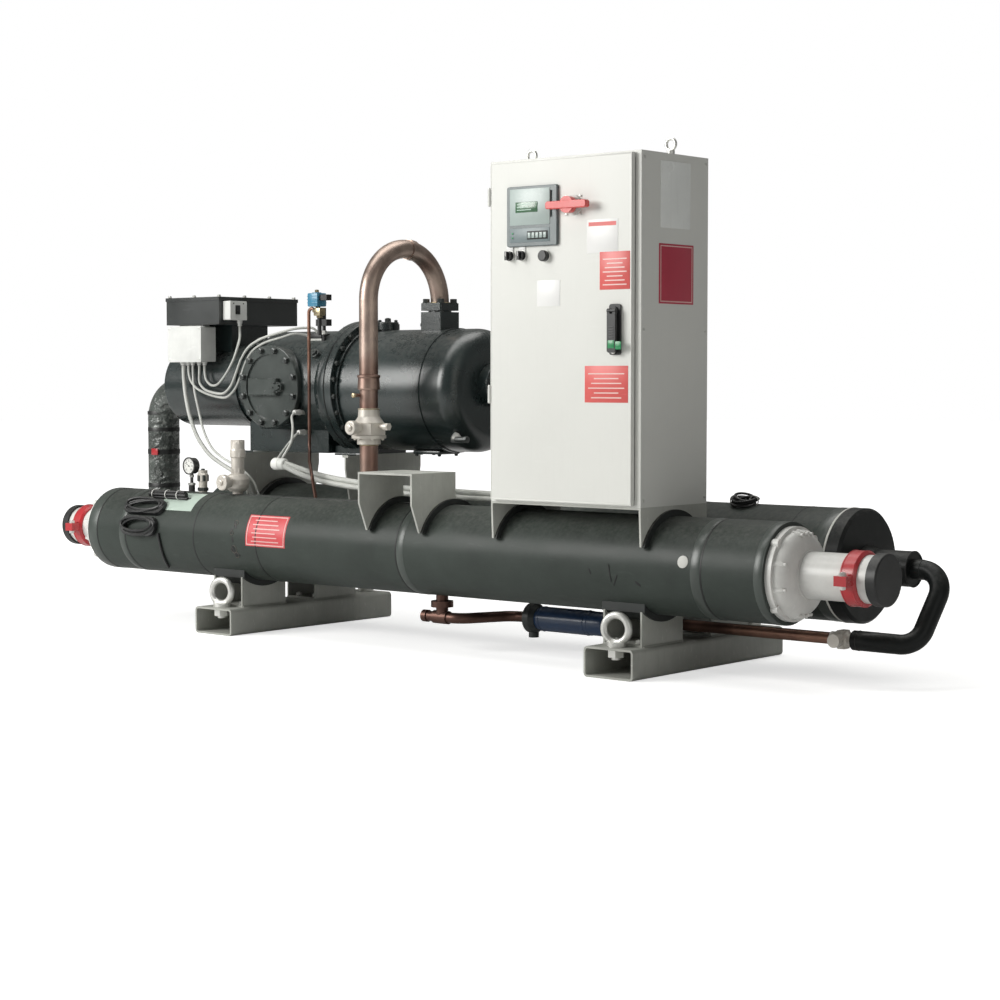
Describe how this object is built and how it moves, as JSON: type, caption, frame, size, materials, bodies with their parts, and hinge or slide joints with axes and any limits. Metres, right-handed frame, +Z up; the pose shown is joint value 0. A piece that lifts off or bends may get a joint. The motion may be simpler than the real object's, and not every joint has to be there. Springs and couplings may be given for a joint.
{
  "type": "water chiller",
  "caption": "Twin-shell screw-compressor water chiller on steel rails, with piping, mounting brackets and an electrical cabinet with a hinged door.",
  "frame": {"origin": "middle of the bounding box at floor level", "axes": "+Z up; +X along the shells, to the right when facing the cabinet door; the door faces -Y"},
  "size_m": [4.2428, 1.0292, 1.928],
  "materials": {
    "base_paint": "satin dark green-grey paint",
    "black_plastic": "black plastic",
    "blue_plastic": "light blue plastic",
    "bracket_paint": "pale grey paint",
    "brass": "brass fitting",
    "cabinet_paint": "light grey powder coat",
    "cable": "cable sheath",
    "casting_paint": "dark gloss paint on castings",
    "copper": "aged copper tube",
    "coupling_red": "red paint",
    "drier_blue": "dark blue paint",
    "grey_plastic": "grey plastic",
    "head_paint": "pale grey paint",
    "red_plastic": "red plastic",
    "shell_insulation": "black foamed rubber insulation, slightly shiny",
    "wrap": "clear plastic film over foil",
    "zinc": "bright zinc plate"
  },
  "bodies": {
    "chiller": {"base_rail_left": "base_paint", "base_rail_right": "base_paint", "blanking_stubs": "head_paint", "bracket_bands": "black_plastic", "cabinet_body": "cabinet_paint", "cabinet_bracket": "bracket_paint", "cabinet_eyes": "zinc", "cable_hank": "black_plastic", "compressor_body": "casting_paint", "compressor_motor": "casting_paint", "compressor_support_left": "bracket_paint", "compressor_support_right": "bracket_paint", "condenser_head_left": "head_paint", "condenser_head_right": "head_paint", "condenser_shell": "shell_insulation", "conduit_bundle": "grey_plastic", "discharge_block": "casting_paint", "discharge_pipe": "copper", "discharge_valve": "brass", "end_caps": "black_plastic", "evaporator_cap_right": "shell_insulation", "evaporator_head_left": "head_paint", "evaporator_pipes": "head_paint", "evaporator_shell": "shell_insulation", "expansion_valve": "zinc", "filter_drier": "drier_blue", "inlet_loop": "shell_insulation", "junction_box": "grey_plastic", "lifting_eyes": "zinc", "liquid_line": "copper", "liquid_outlet": "brass", "liquid_valve": "drier_blue", "main_flange": "casting_paint", "oil_line": "copper", "oil_separator": "casting_paint", "pipe_couplings": "coupling_red", "pressure_gauge": "black_plastic", "relief_valve": "brass", "saddles_left": "base_paint", "saddles_right": "base_paint", "separator_foot": "casting_paint", "service_fitting": "brass", "side_cover": "casting_paint", "signal_cables": "cable", "solenoid_valve": "blue_plastic", "spare_bracket": "bracket_paint", "suction_elbow": "wrap", "suction_pipe": "wrap", "support_bands": "black_plastic", "support_pads": "black_plastic", "terminal_box": "casting_paint", "thermostat_box": "grey_plastic"},
    "door": {"cabinet_door": "cabinet_paint", "controller_panel": "grey_plastic", "main_switch_base": "black_plastic", "door_handle": "black_plastic", "selector_buttons": "black_plastic"},
    "switch_grip": {"main_switch_handle": "red_plastic"},
    "handle_disc": {"handle_hub": "black_plastic"},
    "handle_arm": {"handle_lever": "black_plastic"}
  },
  "joints": [
    {"name": "door_hinge", "type": "hinge", "parent": "chiller", "child": "door", "pos_m": [0.55459, -0.46435, 1.24], "axis": [0, 0, -1], "range_deg": [0, 110]},
    {"name": "main_switch_turn", "type": "hinge", "parent": "door", "child": "switch_grip", "pos_m": [0.94859, -0.48135, 1.687], "axis": [0, 1, 0], "range_deg": [0, 90]},
    {"name": "door_handle_turn", "type": "hinge", "parent": "door", "child": "handle_disc", "pos_m": [1.13859, -0.47635, 1.308], "axis": [0, 1, 0], "range_deg": [0, 90]},
    {"name": "door_handle_lift", "type": "hinge", "parent": "handle_disc", "child": "handle_arm", "pos_m": [1.13859, -0.48865, 1.308], "axis": [-1, 0, 0], "range_deg": [0, 35]}
  ]
}
